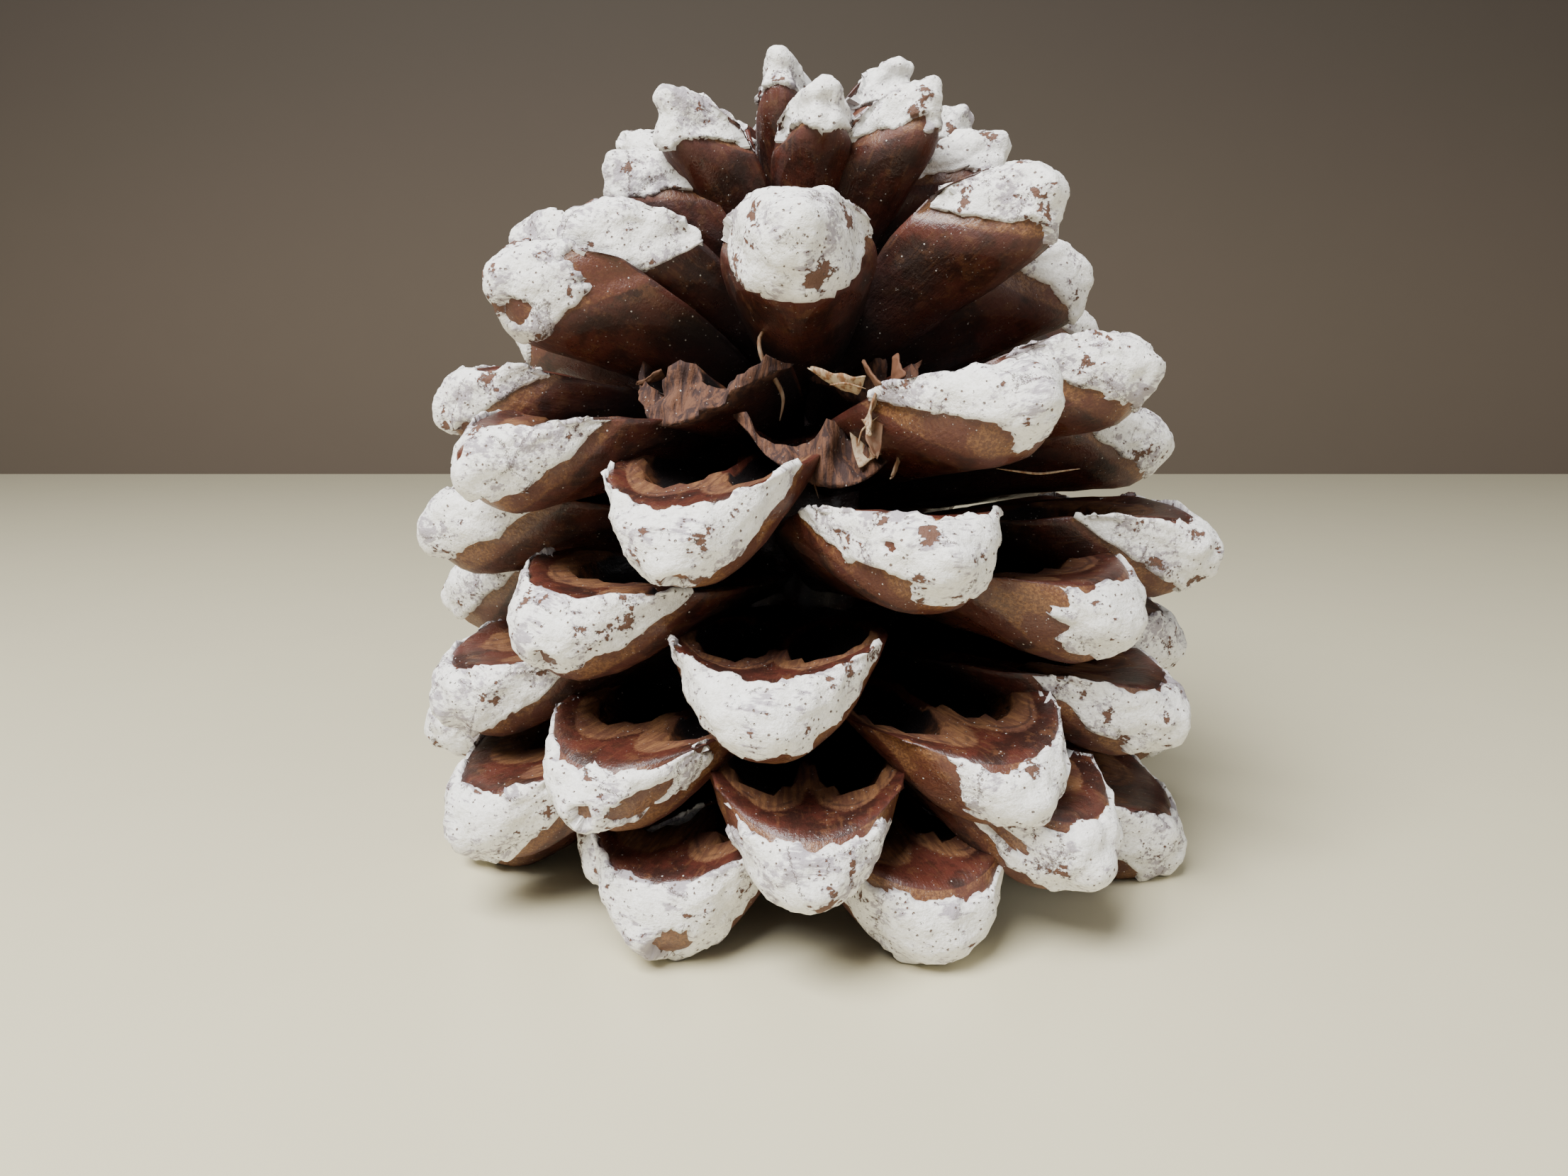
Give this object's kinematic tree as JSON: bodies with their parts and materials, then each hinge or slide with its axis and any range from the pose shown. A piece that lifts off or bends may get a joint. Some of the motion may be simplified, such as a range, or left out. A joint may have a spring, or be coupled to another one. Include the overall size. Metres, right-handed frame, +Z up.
{
  "type": "pine cone",
  "caption": "Open stone pine cone with woody scales set in spirals, their end faces daubed white, standing on its lowest scales.",
  "frame": {"origin": "centre of the footprint, on the surface the cone stands on", "axes": "+Z up along the cone's woody axis, towards its tip; the front, where some scales have snapped off, faces -Y"},
  "size_m": [0.1014, 0.1018, 0.0993],
  "materials": {
    "scale_wood": "satin red-brown woody scales with tan seed marks and near-black seed hollows",
    "white_paint": "thick chalky off-white paint with chips, on the scales' end faces"
  },
  "bodies": {
    "root": {"cone": "scale_wood"}
  },
  "joints": []
}
